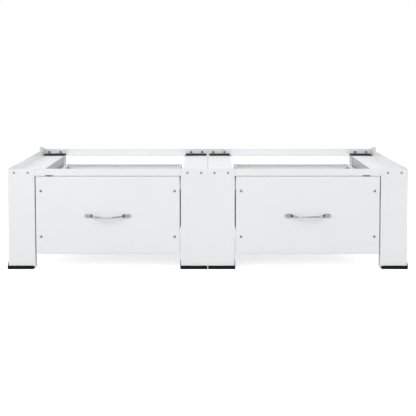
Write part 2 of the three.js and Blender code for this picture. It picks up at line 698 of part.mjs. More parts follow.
// Cuts a moving member short of the fixed member's stop.
function shortOfStop(member) {
  const rear = SLIDE_START + SLIDE_LENGTH;
  const space = block(
    BAY_LEFT, BAY_LEFT + SLIDE_SPACE, rear - SLIDE_SHEET - SEAT_GAP, rear + EPS,
    SLIDE_Z - OUTER_HEIGHT, SLIDE_Z + OUTER_HEIGHT,
  );
  return cut(member, space);
}

function slideMiddle() {
  const wall = BAY_LEFT + MIDDLE_FROM_WALL;
  const free = BAY_LEFT + MIDDLE_REACH;
  const body = channel(wall, free, MIDDLE_HEIGHT, MIDDLE_LIP, 1);
  const balls = ballRows((wall + BAY_LEFT + OUTER_REACH) / 2, MIDDLE_HEIGHT, OUTER_HEIGHT);
  return geometryOf(shortOfStop(join(body, ...balls)));
}

function slideInner() {
  const wall = BOX_LEFT - SEAT_GAP;
  const free = BAY_LEFT + INNER_FROM_WALL;
  const body = channel(wall, free, INNER_HEIGHT, INNER_LIP, -1);
  const balls = ballRows((wall + free) / 2 - SLIDE_SHEET / 2, INNER_HEIGHT, MIDDLE_HEIGHT);
  const rivets = rivetPlaces().map((y) => rivet(wall, y, BOX_SHEET, 1));
  return geometryOf(join(shortOfStop(join(body, ...balls)), ...rivets));
}

// ---------------------------------------------------------------------------------------------
// Drawer, drawn in the left bay
// ---------------------------------------------------------------------------------------------

// The four places of the panel's screws, as [x, z].
function panelScrewPlaces() {
  const xs = [PANEL_LEFT + PANEL_SCREW_FROM_SIDE, PANEL_RIGHT - PANEL_SCREW_FROM_SIDE];
  return xs.flatMap((x) => [[x, PANEL_SCREW_HIGH], [x, PANEL_SCREW_LOW]]);
}

function handleScrewPlaces() {
  const fromMiddle = HANDLE_LENGTH / 2 - HANDLE_SCREW_FROM_END;
  return [BAY_CENTRE - fromMiddle, BAY_CENTRE + fromMiddle];
}

// A block behind y = front with all its front edges rounded: the outside or the inside of the panel.
function panelBlock(x0, x1, z0, z1, front, radius) {
  const back = front > 0 ? PANEL_RETURN + EPS : PANEL_RETURN;
  const level = roundedFront(x0, x1, front, back, radius);
  const side = roundedFront(-z1, -z0, front, back, radius);
  const start = new THREE.Vector3(x0 - EPS, 0, 0);
  const sideOn = extruded(side, x1 - x0 + 2 * EPS, Z.clone().negate(), Y, start);
  return upright(level, z0 - EPS, z1 + EPS).intersect(sideOn);
}

// An outline from one side to the other, with both corners at its front rounded.
function roundedFront(side0, side1, front, back, radius) {
  const outline = new THREE.Shape();
  outline.moveTo(side0, back);
  outline.lineTo(side0, front + radius);
  outline.absarc(side0 + radius, front + radius, radius, Math.PI, 1.5 * Math.PI, false);
  outline.lineTo(side1 - radius, front);
  outline.absarc(side1 - radius, front + radius, radius, 1.5 * Math.PI, 2 * Math.PI, false);
  outline.lineTo(side1, back);
  return outline;
}

// The front panel: a shallow pan with its four edges folded back, and its screws.
function drawerFront() {
  const pan = cut(
    panelBlock(PANEL_LEFT, PANEL_RIGHT, PANEL_BOTTOM, PANEL_TOP, 0, BOX_SHEET + BEND_RADIUS),
    panelBlock(
      PANEL_LEFT + BOX_SHEET, PANEL_RIGHT - BOX_SHEET,
      PANEL_BOTTOM + BOX_SHEET, PANEL_TOP - BOX_SHEET, BOX_SHEET, BEND_RADIUS,
    ),
  );
  const screws = panelScrewPlaces().map(([x, z]) => {
    const screw = fastener(
      PANEL_SCREW_HEAD_RADIUS, PANEL_SCREW_HEAD_HEIGHT, PANEL_SCREW_RADIUS, PANEL_SCREW_LENGTH,
    );
    screw.translate(x, 0, z);
    return solid(screw);
  });
  const handleHoles = handleScrewPlaces().map((x) => (
    drilled(HANDLE_SCREW_RADIUS, 'y', x, 0, HANDLE_Z)
  ));
  return geometryOf(join(cut(pan, ...handleHoles), ...screws));
}

// An inward flange on the front end of the left wall.
function wallEndFlange() {
  const path = [
    [BOX_LEFT, BOX_START + BOX_END_FLANGE], [BOX_LEFT, BOX_START],
    [BOX_LEFT + BOX_END_FLANGE, BOX_START],
  ];
  const low = BOX_BOTTOM + BOX_FLANGE_INSET;
  return upright(folded(path, BOX_SHEET, 1), low, BOX_TOP - BOX_FLANGE_INSET);
}

// The left wall: a hem on top, a flange under the bottom sheet and a flange at each end.
function drawerWall() {
  const path = [
    [BOX_LEFT + BOX_FOOT_FLANGE, BOX_BOTTOM], [BOX_LEFT, BOX_BOTTOM], [BOX_LEFT, BOX_TOP],
    [BOX_LEFT + BOX_HEM, BOX_TOP], [BOX_LEFT + BOX_HEM, BOX_TOP - BOX_HEM],
  ];
  const fold = BOX_SHEET + BEND_RADIUS + EPS;
  const sheet = lengthwise(folded(path, BOX_SHEET, -1), BOX_START + fold, BOX_END - fold);
  const frontFlange = wallEndFlange();
  const rearFlange = solid(mirrored(geometryOf(frontFlange), 'y', (BOX_START + BOX_END) / 2));
  const screwHoles = panelScrewPlaces().map(([x, z]) => (
    drilled(PANEL_SCREW_RADIUS, 'y', x, BOX_START, z)
  ));
  const rivetHoles = rivetPlaces().map((y) => drilled(RIVET_RADIUS, 'x', BOX_LEFT, y, SLIDE_Z));
  return geometryOf(cut(join(sheet, frontFlange, rearFlange), ...screwHoles, ...rivetHoles));
}

// The back: a sheet behind both walls, with a hem on top and a flange at its foot.
function drawerBack() {
  const path = [
    [BOX_REAR - BACK_FOOT_FLANGE, BOX_BOTTOM], [BOX_REAR, BOX_BOTTOM], [BOX_REAR, BOX_TOP],
    [BOX_REAR - BOX_HEM, BOX_TOP], [BOX_REAR - BOX_HEM, BOX_TOP - BOX_HEM],
  ];
  const sheet = crosswise(folded(path, BOX_SHEET, 1), BOX_LEFT, BOX_RIGHT);
  const wallSpace = BOX_END_FLANGE + BOX_SHEET;
  const spans = [[BOX_LEFT - EPS, BOX_LEFT + wallSpace], [BOX_RIGHT - wallSpace, BOX_RIGHT + EPS]];
  const cuts = spans.map(([x0, x1]) => block(
    x0, x1, BOX_REAR - BACK_FOOT_FLANGE - EPS, BOX_REAR - BOX_SHEET, BOX_BOTTOM - EPS, BOX_TOP + EPS,
  ));
  return geometryOf(cut(sheet, ...cuts));
}

// The bottom sheet, resting on the walls' flanges, with an upstand at the front and rear.
function drawerBottom() {
  const under = BOX_BOTTOM + BOX_SHEET + SEAT_GAP;
  const front = BOX_START + BOX_SHEET + SEAT_GAP;
  const rear = BOX_END - BOX_SHEET - SEAT_GAP;
  const top = under + BOX_BOTTOM_UPSTAND;
  const path = [[front, top], [front, under], [rear, under], [rear, top]];
  const inset = BOX_SHEET + SEAT_GAP;
  return geometryOf(crosswise(folded(path, BOX_SHEET, 1), BOX_LEFT + inset, BOX_RIGHT - inset));
}

// ---------------------------------------------------------------------------------------------
// Handle
// ---------------------------------------------------------------------------------------------

// The line through the middle of the handle: a flat pad, a bow that reaches forward, a flat pad.
function handleLine(lean) {
  const padMiddle = SEAT_GAP + HANDLE_PAD_THICKNESS / 2;
  const rise = HANDLE_REACH - HANDLE_BAR / 2 - padMiddle;
  const bowHalf = HANDLE_LENGTH / 2 - HANDLE_PAD_LENGTH;
  const end = HANDLE_LENGTH / 2;
  const points = [];
  for (const share of PAD_SHARES) points.push([-end + share * HANDLE_PAD_LENGTH, 0]);
  for (let angle = -BOW_LIMIT; angle <= BOW_LIMIT; angle += BOW_STEP) {
    const a = THREE.MathUtils.degToRad(angle);
    points.push([bowHalf * Math.sin(a), Math.cos(a)]);
  }
  for (const share of PAD_SHARES.toReversed()) points.push([end - share * HANDLE_PAD_LENGTH, 0]);
  const places = points.map(([x, out]) => (
    new THREE.Vector3(BAY_CENTRE + x, -(padMiddle + rise * out), HANDLE_Z + lean * HANDLE_LEAN * out)
  ));
  return new THREE.CatmullRomCurve3(places, false, 'centripetal');
}

// Half height and half thickness of the handle at a distance from its middle.
function handleSection(distance) {
  const bowHalf = HANDLE_LENGTH / 2 - HANDLE_PAD_LENGTH;
  const flat = THREE.MathUtils.smoothstep(distance, bowHalf * FLATTEN_START, bowHalf * FLATTEN_END);
  const endRadius = HANDLE_PAD_HEIGHT / 2;
  const past = Math.max(0, distance - (HANDLE_LENGTH / 2 - endRadius));
  const round = Math.sqrt(Math.max(PAD_END_HEIGHT, 1 - (past / endRadius) ** 2));
  return {
    high: THREE.MathUtils.lerp(HANDLE_BAR / 2, (HANDLE_PAD_HEIGHT / 2) * round, flat),
    thick: THREE.MathUtils.lerp(HANDLE_BAR / 2, HANDLE_PAD_THICKNESS / 2, flat),
    square: THREE.MathUtils.lerp(1, PAD_SQUARENESS, flat),
  };
}

// A bow handle. Its grip leans down (lean -1) or up (lean 1), by the way round it is mounted.
function handle(lean) {
  const line = handleLine(lean);
  const rings = [];
  for (let i = 0; i <= HANDLE_STATIONS; i += 1) {
    const place = line.getPointAt(i / HANDLE_STATIONS);
    const along = line.getTangentAt(i / HANDLE_STATIONS);
    const out = new THREE.Vector3(along.y, -along.x, 0).normalize();
    const { high, thick, square } = handleSection(Math.abs(place.x - BAY_CENTRE));
    const ring = [];
    for (let k = 0; k < RING_POINTS; k += 1) {
      const a = (2 * Math.PI * k) / RING_POINTS;
      const c = Math.sign(Math.cos(a)) * Math.abs(Math.cos(a)) ** square;
      const s = Math.sign(Math.sin(a)) * Math.abs(Math.sin(a)) ** square;
      ring.push(place.clone().addScaledVector(out, c * thick).addScaledVector(Z, s * high));
    }
    rings.push(ring);
  }
  const depth = SEAT_GAP + HANDLE_SCREW_BITE + HOLE_CLEARANCE;
  const holes = handleScrewPlaces().map((x) => (
    rod(HANDLE_SCREW_RADIUS + SEAT_GAP, 2 * depth, 'y', x, 0, HANDLE_Z)
  ));
  return geometryOf(cut(solid(loft(rings)), ...holes));
}

// A screw from inside the drawer, through the front panel and into the handle's pad.
function handleScrew(x) {
  const length = BOX_SHEET + 2 * SEAT_GAP + HANDLE_SCREW_BITE;
  const screw = fastener(
    HANDLE_SCREW_HEAD_RADIUS, HANDLE_SCREW_HEAD_HEIGHT, HANDLE_SCREW_RADIUS, length,
  );
  screw.rotateZ(Math.PI);
  screw.translate(x, BOX_SHEET + SEAT_GAP, HANDLE_Z);
  return geometryOf(solid(screw));
}

// ---------------------------------------------------------------------------------------------
// Assembly
// ---------------------------------------------------------------------------------------------

const stand = new THREE.Group();
stand.position.y = -(STAND_DEPTH + REAR_PROUD - HANDLE_REACH) / 2;

function addPiece(name, geometry, material) {
  const mesh = new THREE.Mesh(geometry, material);
  mesh.name = name;
  stand.add(mesh);
}

// The name of the mirror image of a piece: left and right change places.
function otherHand(name) {
  const opposite = { left: 'right', right: 'left' };
  return name.replace(/left|right/g, (hand) => opposite[hand]);
}

// Adds a piece of the left half and its mirror image in the right half.
function addPair(name, geometry, makeMaterial) {
  addPiece(name, geometry, makeMaterial());
  addPiece(otherHand(name), mirrored(geometry, 'x', 0), makeMaterial());
}

function toRear(geometry) {
  return mirrored(geometry, 'y', STAND_DEPTH / 2);
}

// Adds a piece of the left bay's left side, its mirror image on that bay's right side, and both again
// in the right bay.
function addToBothSidesOfBays(part, geometry, makeMaterial) {
  addPair(`left_bay_left_${part}`, geometry, makeMaterial);
  addPair(`left_bay_right_${part}`, mirrored(geometry, 'x', BAY_CENTRE), makeMaterial);
}

addPair('front_left_leg', outerLeg(FRONT_RETURN, 0), whitePaint);
addPair('rear_left_leg', toRear(outerLeg(REAR_RETURN, EAR_RISE)), whitePaint);
addPiece('front_centre_leg', centreLeg(FRONT_RETURN), whitePaint());
addPiece('rear_centre_leg', toRear(centreLeg(REAR_RETURN)), whitePaint());

addPair('left_outer_beam', outerBeam(), whitePaint);
addPair('left_centre_beam', centreBeam(), whitePaint);
addPair('front_left_rail', notchedRail(), whitePaint);
addPair('rear_left_rail', toRear(rail()), whitePaint);

const outerFoot = foot(-HALF_WIDTH, OUTER_FOOT_OVERHANG, OUTER_FOOT_WIDTH);
const centreFoot = foot(-LEG_WIDTH, CENTRE_FOOT_OVERHANG, CENTRE_FOOT_WIDTH);
addPair('front_left_foot', outerFoot, blackRubber);
addPair('front_centre_left_foot', centreFoot, blackRubber);
addPair('rear_left_foot', toRear(outerFoot), blackRubber);
addPair('rear_centre_left_foot', toRear(centreFoot), blackRubber);

const outerPadX = BAY_LEFT + PAD_OVERLAP - PAD_WIDTH;
const centrePadX = -(PAD_FROM_MIDDLE + PAD_WIDTH);
addPair('front_left_pad', pad(outerPadX), blackRubber);
addPair('front_centre_left_pad', pad(centrePadX), blackRubber);
addPair('rear_left_pad', toRear(pad(outerPadX)), blackRubber);
addPair('rear_centre_left_pad', toRear(pad(centrePadX)), blackRubber);

addToBothSidesOfBays('slide_outer', slideOuter(), zincSteel);
addToBothSidesOfBays('slide_middle', slideMiddle(), zincSteel);
addToBothSidesOfBays('slide_inner', slideInner(), zincSteel);

addPair('left_drawer_front', drawerFront(), whitePaint);
addPair('left_drawer_left_wall', drawerWall(), whitePaint);
addPair('left_drawer_right_wall', mirrored(drawerWall(), 'x', BAY_CENTRE), whitePaint);
addPair('left_drawer_back', drawerBack(), whitePaint);
addPair('left_drawer_bottom', drawerBottom(), whitePaint);
addPiece('left_drawer_handle', handle(-1), chromePlate());
addPiece('right_drawer_handle', mirrored(handle(1), 'x', 0), chromePlate());
const [leftScrewX, rightScrewX] = handleScrewPlaces();
addPair('left_drawer_left_handle_screw', handleScrew(leftScrewX), zincSteel);
addPair('left_drawer_right_handle_screw', handleScrew(rightScrewX), zincSteel);

const product = new THREE.Group();
product.add(stand);

export default product;
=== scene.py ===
"""Looks of the double laundry pedestal: materials, fasteners, drawer sheets, handles and studio.

The scene is in metres, in the part's own frame. Sizes named here are in millimetres, as in the
part's drawing, and MM or at() turns them into metres. A depth counts from the legs' front faces
towards the rear.
"""

import math

import bmesh
import bpy
from mathutils import Matrix, Vector

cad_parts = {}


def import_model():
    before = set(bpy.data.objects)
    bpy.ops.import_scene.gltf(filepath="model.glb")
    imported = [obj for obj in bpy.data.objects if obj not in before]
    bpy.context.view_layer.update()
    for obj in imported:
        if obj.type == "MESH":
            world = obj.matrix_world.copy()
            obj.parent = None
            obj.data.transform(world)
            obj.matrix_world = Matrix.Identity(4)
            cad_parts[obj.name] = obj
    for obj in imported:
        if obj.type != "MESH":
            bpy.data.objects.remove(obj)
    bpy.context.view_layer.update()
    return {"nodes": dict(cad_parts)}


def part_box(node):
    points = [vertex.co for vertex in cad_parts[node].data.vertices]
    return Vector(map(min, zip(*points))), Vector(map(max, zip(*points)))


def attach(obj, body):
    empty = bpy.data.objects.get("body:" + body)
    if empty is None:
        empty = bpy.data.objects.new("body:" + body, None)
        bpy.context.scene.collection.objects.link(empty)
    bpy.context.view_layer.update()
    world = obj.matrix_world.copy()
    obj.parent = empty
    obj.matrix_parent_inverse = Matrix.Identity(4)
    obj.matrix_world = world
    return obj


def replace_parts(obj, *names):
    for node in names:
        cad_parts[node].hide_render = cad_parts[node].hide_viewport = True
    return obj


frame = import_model()

MM = 0.001
SIDES = ("left", "right")


# ---------------------------------------------------------------------------------------------
# Sizes
# ---------------------------------------------------------------------------------------------


def corners(node):
    """The lowest and highest corner of a node of the frame, in millimetres."""
    low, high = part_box(node)
    return low / MM, high / MM


RAIL_LOW, RAIL_HIGH = corners("front_right_rail")
REAR_RAIL_HIGH = corners("rear_right_rail")[1]
LEG_LOW, LEG_HIGH = corners("front_right_leg")
SCREW_LOW, SCREW_HIGH = corners("right_drawer_left_handle_screw")
PAD_LOW = corners("front_left_pad")[0]
BACK_HIGH = corners("left_drawer_back")[1]
WALL_HIGH = corners("left_drawer_left_wall")[1]

DEPTH_ORIGIN = -RAIL_LOW.y  # the legs' and rails' front faces lie this far in front of the origin
STAND_DEPTH = REAR_RAIL_HIGH.y - RAIL_LOW.y
SEAT_GAP = 0.3  # between pieces that are fastened together
BOX_SHEET = 1.2
RAIL_SHEET = 1.5
PLATE_TOP = PAD_LOW.z - SEAT_GAP
HALF_WIDTH = LEG_HIGH.x
LEG_WIDTH = LEG_HIGH.x - LEG_LOW.x
BAY_WIDTH = LEG_LOW.x - LEG_WIDTH  # the centre leg is two legs wide
BAY_CENTRE = LEG_WIDTH + BAY_WIDTH / 2
BAYS = {"left": -BAY_CENTRE, "right": BAY_CENTRE}

BOLT_BELOW_RIM = 13.0
BOLT_Z = RAIL_HIGH.z - BOLT_BELOW_RIM
BOLT_FROM_EDGE = 21.0
PANEL_WIDTH = 453.0
PANEL_SCREW_FROM_EDGE = 16.0
PANEL_SCREW_X = PANEL_WIDTH / 2 - PANEL_SCREW_FROM_EDGE
PANEL_SCREW_HEIGHTS = (248.5, 103.5)
SCREW_REACH = 5.4  # faces this close to a screw's axis belong to the screw

HANDLE_LENGTH = 146.0
HANDLE_PAD_LENGTH = 22.7
HANDLE_ROOT = HANDLE_LENGTH / 2 - HANDLE_PAD_LENGTH  # from its middle to where the bow leaves a pad


def at(x, depth, z):
    """A point in the scene from millimetres."""
    return Vector((x * MM, (depth - DEPTH_ORIGIN) * MM, z * MM))


# ---------------------------------------------------------------------------------------------
# Node helpers
# ---------------------------------------------------------------------------------------------


class Graph:
    """Short calls for building one node tree."""

    def __init__(self, tree):
        self.nodes, self.links = tree.nodes, tree.links

    def new(self, kind, **settings):
        node = self.nodes.new(kind)
        for key, value in settings.items():
            setattr(node, key, value)
        return node

    def feed(self, socket, value):
        """Links a socket to another one, or gives it a plain value."""
        if isinstance(value, bpy.types.NodeSocket):
            self.links.new(value, socket)
        else:
            socket.default_value = value

    def remap(self, value, low, high, from_low=0.3, from_high=0.7):
        node = self.new("ShaderNodeMapRange")
        bounds = {"From Min": from_low, "From Max": from_high, "To Min": low, "To Max": high}
        for key, bound in bounds.items():
            node.inputs[key].default_value = bound
        self.feed(node.inputs["Value"], value)
        return node.outputs["Result"]

    def math(self, operation, *values):
        node = self.new("ShaderNodeMath", operation=operation)
        for socket, value in zip(node.inputs, values):
            self.feed(socket, value)
        return node.outputs[0]

    def split(self, vector):
        node = self.new("ShaderNodeSeparateXYZ")
        self.feed(node.inputs["Vector"], vector)
        return node.outputs


class MaterialGraph(Graph):
    """The node tree of one material, with a texture space in the frame's own metres."""

    def __init__(self, name):
        self.material = bpy.data.materials.new(name)
        self.material.use_nodes = True
        super().__init__(self.material.node_tree)
        self.shader = self.nodes["Principled BSDF"]
        self.coords = self.new("ShaderNodeTexCoord").outputs["Object"]

    def noise(self, scale, detail=2.0, rough=0.5, stretch=None):
        node = self.new("ShaderNodeTexNoise")
        node.inputs["Scale"].default_value = scale
        node.inputs["Detail"].default_value = detail
        node.inputs["Roughness"].default_value = rough
        source = self.coords
        if stretch:
            mapping = self.new("ShaderNodeMapping")
            mapping.inputs["Scale"].default_value = stretch
            self.feed(mapping.inputs["Vector"], source)
            source = mapping.outputs["Vector"]
        self.feed(node.inputs["Vector"], source)
        return node.outputs["Fac"]

    def mix(self, factor, a, b):
        node = self.new("ShaderNodeMix", data_type="RGBA")
        self.feed(node.inputs["Factor"], factor)
        for key, colour in (("A", a), ("B", b)):
            self.feed(node.inputs[key], (*colour, 1.0) if isinstance(colour, tuple) else colour)
        return node.outputs["Result"]

    def clouded(self, dark, light, scale, detail, most=1.0):
        """Two tones of one colour, mixed by a soft noise."""
        return self.mix(self.remap(self.noise(scale, detail), 0.0, most), dark, light)

    def bevel(self, radius):
        node = self.new("ShaderNodeBevel", samples=4)
        node.inputs["Radius"].default_value = radius
        return node.outputs["Normal"]

    def edge_mask(self, rounded):
        """1 on an edge and 0 on a flat face, from how far the rounded normal leans away."""
        geometry = self.new("ShaderNodeNewGeometry")
        dot = self.new("ShaderNodeVectorMath", operation="DOT_PRODUCT")
        self.feed(dot.inputs[0], geometry.outputs["Normal"])
        self.feed(dot.inputs[1], rounded)
        return self.remap(dot.outputs["Value"], 1.0, 0.0, from_low=0.8, from_high=0.995)

    def bump(self, height, strength, distance, normal=None):
        node = self.new("ShaderNodeBump")
        node.inputs["Strength"].default_value = strength
        node.inputs["Distance"].default_value = distance
        self.feed(node.inputs["Height"], height)
        if normal is not None:
            self.feed(node.inputs["Normal"], normal)
        return node.outputs["Normal"]

    def constants(self, **values):
        """Plain values on the shader's own sockets, with _ for a space in a socket's name."""
        for key, value in values.items():
            self.shader.inputs[key.replace("_", " ")].default_value = value

    def finish(self, colour, roughness, normal):
        for key, source in (("Base Color", colour), ("Roughness", roughness), ("Normal", normal)):
            self.feed(self.shader.inputs[key], source)
        return self.material


# ---------------------------------------------------------------------------------------------
# Materials: colours are linear, noise scales count waves a metre, bump and bevel are in metres
# ---------------------------------------------------------------------------------------------

ORANGE_PEEL = {"scale": 950.0, "detail": 1.0, "rough": 0.4}
PEEL_DEPTH = 0.00012
METAL_GRAIN_DEPTH = 0.0001


def white_powder_coat():
    """Satin white powder coat: orange-peel skin, faint clouding, a painted highlight on the folds.
    """
    g = MaterialGraph("white_powder_coat")
    rounded = g.bevel(radius=0.0012)
    body = g.clouded((0.796, 0.804, 0.818), (0.820, 0.828, 0.840), scale=2.2, detail=3.0)
    # Painted highlight: the folds are painted lighter, in patches.
    patchy_edges = g.remap(g.noise(scale=160.0, detail=3.0), low=0.10, high=0.65)
    colour = g.mix(g.math("MULTIPLY", g.edge_mask(rounded), patchy_edges), body, (0.90, 0.905, 0.91))
    rough = g.remap(g.noise(scale=60.0, detail=3.0), low=0.34, high=0.44)
    g.constants(IOR=1.5, Coat_Weight=0.12, Coat_Roughness=0.22)
    peel = g.noise(**ORANGE_PEEL)
    return g.finish(colour, rough, g.bump(peel, strength=0.10, distance=PEEL_DEPTH, normal=rounded))


def painted_shade_coat():
    """The white coat greyed as painted shade, for the walls turned to the bays."""
    g = MaterialGraph("painted_shade_coat")
    rounded = g.bevel(radius=0.0008)
    # Painted shade: a greyed tone for the walls inside the bays, with the folds darker still.
    body = g.clouded((0.470, 0.476, 0.482), (0.530, 0.536, 0.542), scale=14.0, detail=3.0)
    colour = g.mix(g.math("MULTIPLY", g.edge_mask(rounded), 0.5), body, (0.40, 0.41, 0.42))
    rough = g.remap(g.noise(scale=60.0, detail=3.0), low=0.42, high=0.55)
    peel = g.noise(**ORANGE_PEEL)
    return g.finish(colour, rough, g.bump(peel, strength=0.14, distance=PEEL_DEPTH, normal=rounded))


def black_rubber():
    """Moulded rubber: matt black with a fine grain, greyer on its worn edges."""
    g = MaterialGraph("black_rubber")
    rounded = g.bevel(radius=0.0010)
    body = g.clouded(
        (0.005, 0.005, 0.0055), (0.011, 0.011, 0.012), scale=30.0, detail=4.0, most=0.6
    )
    patchy_edges = g.remap(g.noise(scale=220.0, detail=3.0), low=0.1, high=0.8)
    colour = g.mix(g.math("MULTIPLY", g.edge_mask(rounded), patchy_edges), body, (0.045, 0.045, 0.047))
    rough = g.remap(g.noise(scale=180.0, detail=3.0), low=0.55, high=0.78)
    g.constants(Specular_IOR_Level=0.12)
    grain = g.noise(scale=1500.0)
    return g.finish(colour, rough, g.bump(grain, strength=0.35, distance=0.0002, normal=rounded))


def chrome():
    """Chrome plate: faint polishing marks along the bow, smudges, painted shade at the pads' roots.
    """
    g = MaterialGraph("chrome_plate")
    plate = g.clouded((0.38, 0.39, 0.41), (0.49, 0.50, 0.52), scale=45.0, detail=4.0)
    from_stand_middle = g.math("ABSOLUTE", g.split(g.coords)["X"])
    from_bay_middle = g.math("ABSOLUTE", g.math("SUBTRACT", from_stand_middle, BAY_CENTRE * MM))
    from_root = g.math("ABSOLUTE", g.math("SUBTRACT", from_bay_middle, HANDLE_ROOT * MM))
    # Painted shade: the chrome darkens where the bow leaves each pad.
    painted_root_shade = g.remap(from_root, low=0.85, high=0.0, from_low=1.5 * MM, from_high=6.0 * MM)
    colour = g.mix(painted_root_shade, plate, (0.10, 0.102, 0.108))
    rough = g.remap(g.noise(scale=120.0, detail=4.0, stretch=(0.15, 1.0, 1.0)), low=0.07, high=0.17)
    g.constants(Metallic=1.0)
    polish = g.noise(scale=900.0, detail=1.0, stretch=(0.1, 1.0, 1.0))
    return g.finish(colour, rough, g.bump(polish, strength=0.04, distance=METAL_GRAIN_DEPTH))


def zinc_steel():
    """Bright zinc on rolled steel: drawn marks along the depth and faint spangle."""
    g = MaterialGraph("zinc_plated_steel")
    spangle = g.new("ShaderNodeTexVoronoi")
    spangle.inputs["Scale"].default_value = 260.0
    g.feed(spangle.inputs["Vector"], g.coords)
    flakes = g.math("MULTIPLY", spangle.outputs["Distance"], 0.5)
    tone = g.math("ADD", flakes, g.noise(scale=25.0, detail=3.0))
    colour = g.mix(
        g.remap(tone, low=0.0, high=1.0, from_low=0.4, from_high=1.0),
        (0.43, 0.44, 0.455), (0.57, 0.58, 0.59),
    )
    drawn = g.noise(scale=700.0, stretch=(1.0, 0.03, 1.0))
    g.constants(Metallic=1.0)
    normal = g.bump(drawn, strength=0.12, distance=METAL_GRAIN_DEPTH, normal=g.bevel(radius=0.0004))
    return g.finish(colour, g.remap(drawn, low=0.26, high=0.42), normal)


def screw_steel():
    """Nickel-plated screw heads: a darker body, with rims painted lighter as a highlight."""
    g = MaterialGraph("screw_steel")
    rounded = g.bevel(radius=0.0003)
    body = g.clouded((0.26, 0.265, 0.272), (0.36, 0.365, 0.372), scale=300.0, detail=3.0)
    # Painted highlight: the rims are painted lighter than the body.
    colour = g.mix(g.edge_mask(rounded), body, (0.54, 0.55, 0.56))
    rough = g.remap(g.noise(scale=800.0), low=0.22, high=0.36)
    g.constants(Metallic=1.0)
    grain = g.noise(scale=1400.0)
    normal = g.bump(grain, strength=0.08, distance=METAL_GRAIN_DEPTH, normal=rounded)
    return g.finish(colour, rough, normal)


WHITE = white_powder_coat()
PAINTED_SHADE_COAT = painted_shade_coat()
RUBBER = black_rubber()
CHROME = chrome()
ZINC = zinc_steel()
SCREW = screw_steel()


# ---------------------------------------------------------------------------------------------
# Materials on the frame's own nodes
# ---------------------------------------------------------------------------------------------

PLATE_FOLD = 3.0  # the fold under a beam's plate keeps the plain white coat, without painted shade
UPRIGHT = 0.9  # least |x| of a wall's normal


def bolt_places():
    """x of the eight bolts of one face, and the kind of leg that each is in."""
    legs = (
        (-HALF_WIDTH, "left_leg"), (HALF_WIDTH - LEG_WIDTH, "right_leg"),
        (-LEG_WIDTH, "centre_leg"), (0.0, "centre_leg"),
    )
    offsets = (BOLT_FROM_EDGE, LEG_WIDTH - BOLT_FROM_EDGE)
    return [(start + offset, leg) for start, leg in legs for offset in offsets]


def panel_screw_places(bay):
    """x and z of the four screws of a bay's front panel, and of those of its drawer's back."""
    return [(bay + side * PANEL_SCREW_X, z) for side in (-1, 1) for z in PANEL_SCREW_HEIGHTS]


def paint(obj, base, axes=()):
    """Gives a node its material, and the screw steel to the faces round each axis along y."""
    mesh = obj.data
    mesh.materials.clear()
    mesh.materials.append(base)
    if not axes:
        return
    mesh.materials.append(SCREW)
    for face in mesh.polygons:
        points = [mesh.vertices[i].co for i in face.vertices]
        for x, z in axes:
            if all(math.hypot(p.x - x * MM, p.z - z * MM) < SCREW_REACH * MM for p in points):
                face.material_index = 1


def paint_beam(obj):
    """A side beam: painted shade on its upright walls under the plate, plain white coat elsewhere.
    """
    paint(obj, WHITE)
    obj.data.materials.append(PAINTED_SHADE_COAT)
    for face in obj.data.polygons:
        # the upright walls under the plate take the second material, a painted shade
        if abs(face.normal.x) > UPRIGHT and face.center.z < (PLATE_TOP - PLATE_FOLD) * MM:
            face.material_index = 1


for name, node in frame["nodes"].items():
    if name.endswith("_leg"):
        kind = name.split("_", 1)[1]
        paint(node, WHITE, [(x, BOLT_Z) for x, leg in bolt_places() if leg == kind])
    elif name.endswith("drawer_front"):
        paint(node, WHITE, panel_screw_places(BAYS[name.split("_")[0]]))
    elif name.endswith("_beam"):
        paint_beam(node)
    elif name.endswith(("_foot", "_pad")):
        paint(node, RUBBER)
    elif "_slide_" in name:
        paint(node, ZINC)
    elif name.endswith("handle_screw"):
        paint(node, SCREW)
    elif name.endswith("_handle"):
        paint(node, CHROME)
    else:
        paint(node, WHITE)


# ---------------------------------------------------------------------------------------------
# Mesh helpers
# ---------------------------------------------------------------------------------------------


def piece(name, mesh, material, body, matrix=None):
    """A new object that rides on a body. A mesh without a material gets it, and smooth faces."""
    obj = bpy.data.objects.new(name, mesh)
    bpy.context.scene.collection.objects.link(obj)
    if not mesh.materials:
        mesh.materials.append(material)
        mesh.polygons.foreach_set("use_smooth", [True] * len(mesh.polygons))
    if matrix is not None:
        obj.matrix_world = matrix
    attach(obj, body)
    return obj


def rings_mesh(name, rings):
    """A closed skin over a list of rings with equal numbers of points."""
    count = len(rings[0])
    last = (len(rings) - 1) * count
    faces = []
    for first in range(0, last, count):
        for k in range(count):
            a, b = first + k, first + (k + 1) % count
            faces.append((a, b, b + count, a + count))
    faces += [tuple(reversed(range(count))), tuple(range(last, last + count))]
    mesh = bpy.data.meshes.new(name)
    mesh.from_pydata([tuple(point) for ring in rings for point in ring], [], faces)
    mesh.validate()
    work = bmesh.new()
    work.from_mesh(mesh)
    bmesh.ops.recalc_face_normals(work, faces=work.faces)
    work.to_mesh(mesh)
    work.free()
    return mesh


# ---------------------------------------------------------------------------------------------
# Screw heads and nuts: each faces -y, with its seat at y = 0
# ---------------------------------------------------------------------------------------------

ROUND_POINTS = 48
ROUND_ANGLES = [2 * math.pi * k / ROUND_POINTS for k in range(ROUND_POINTS)]
# Heights as shares of a head's height, then widths as shares of its dome's radius
FLANGE_TOP, DOME_START, DOME_FOOT = 0.22, 0.32, 0.36
DOME_SKIRT, DOME_CROWN = 1.02, 0.30
DOME_DEGREES = (12, 30, 48, 64, 78)
# The recess from its rim to its bottom: share of its outline, of the head's height, of its depth
RECESS_LEVELS = ((1.05, 1.0, 0.0), (1.0, 0.97, 0.0), (0.97, 1.0, 1.0), (0.25, 1.0, 1.25))
